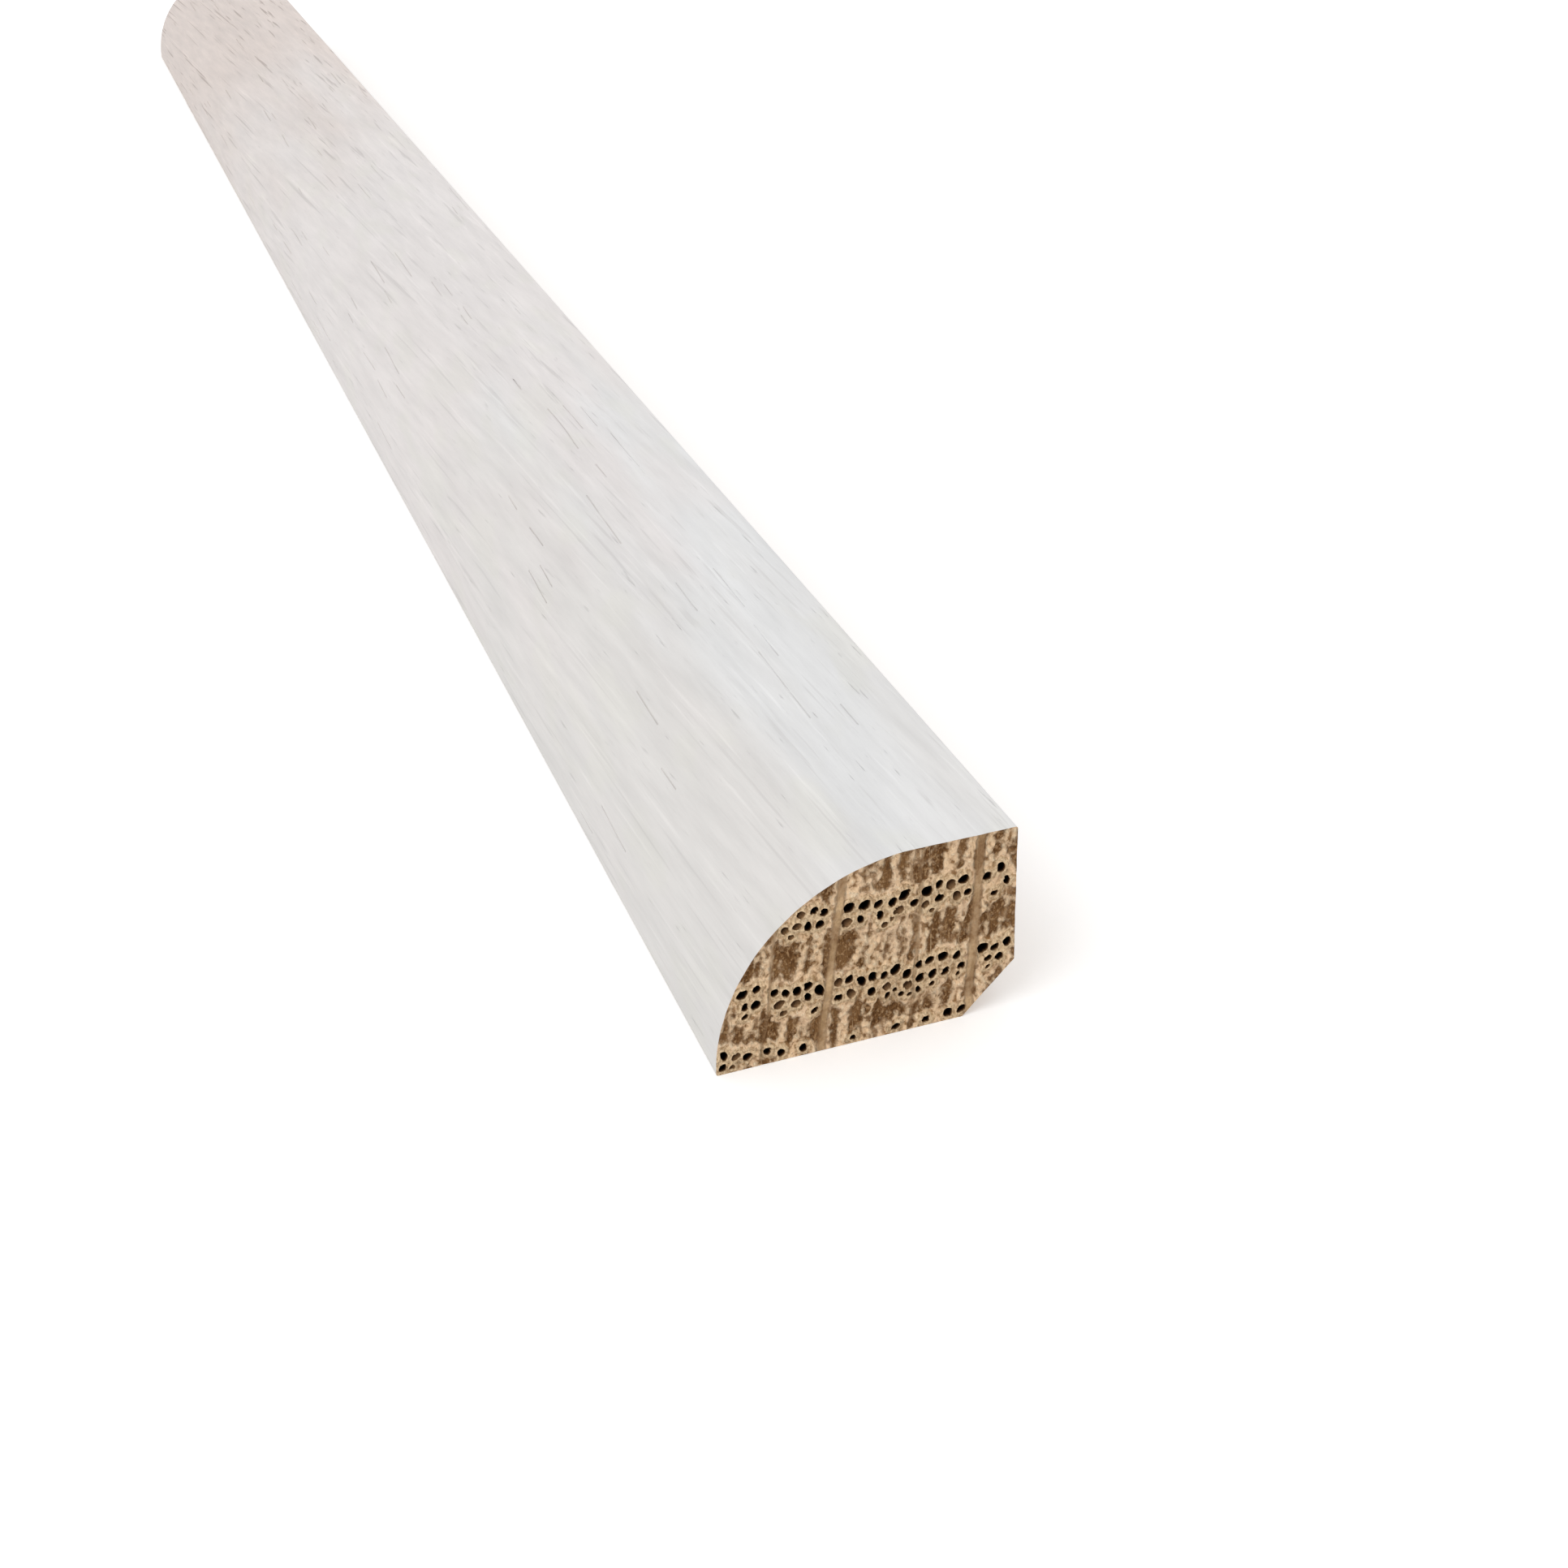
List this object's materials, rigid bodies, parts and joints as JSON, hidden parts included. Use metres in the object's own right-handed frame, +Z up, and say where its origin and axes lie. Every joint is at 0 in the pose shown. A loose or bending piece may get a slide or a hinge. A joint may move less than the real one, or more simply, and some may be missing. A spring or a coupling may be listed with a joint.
{
  "type": "shoe moulding",
  "caption": "Solid hardwood floor trim with a quarter-round nose, flat top land and relieved back corner; covers the gap between a floor and a wall or baseboard.",
  "frame": {"origin": "on the floor, under the centre of the stick: half way across its width and half way along its length", "axes": "+X across the floor to the wall, out of the wall face; +Y along the stick, away from the end nearest the picture's camera; +Z up, out of the top land"},
  "size_m": [0.019, 0.3048, 0.0127],
  "materials": {
    "whitewashed_oak": "satin"
  },
  "bodies": {
    "root": {"shoe_moulding": "whitewashed_oak"}
  },
  "joints": []
}
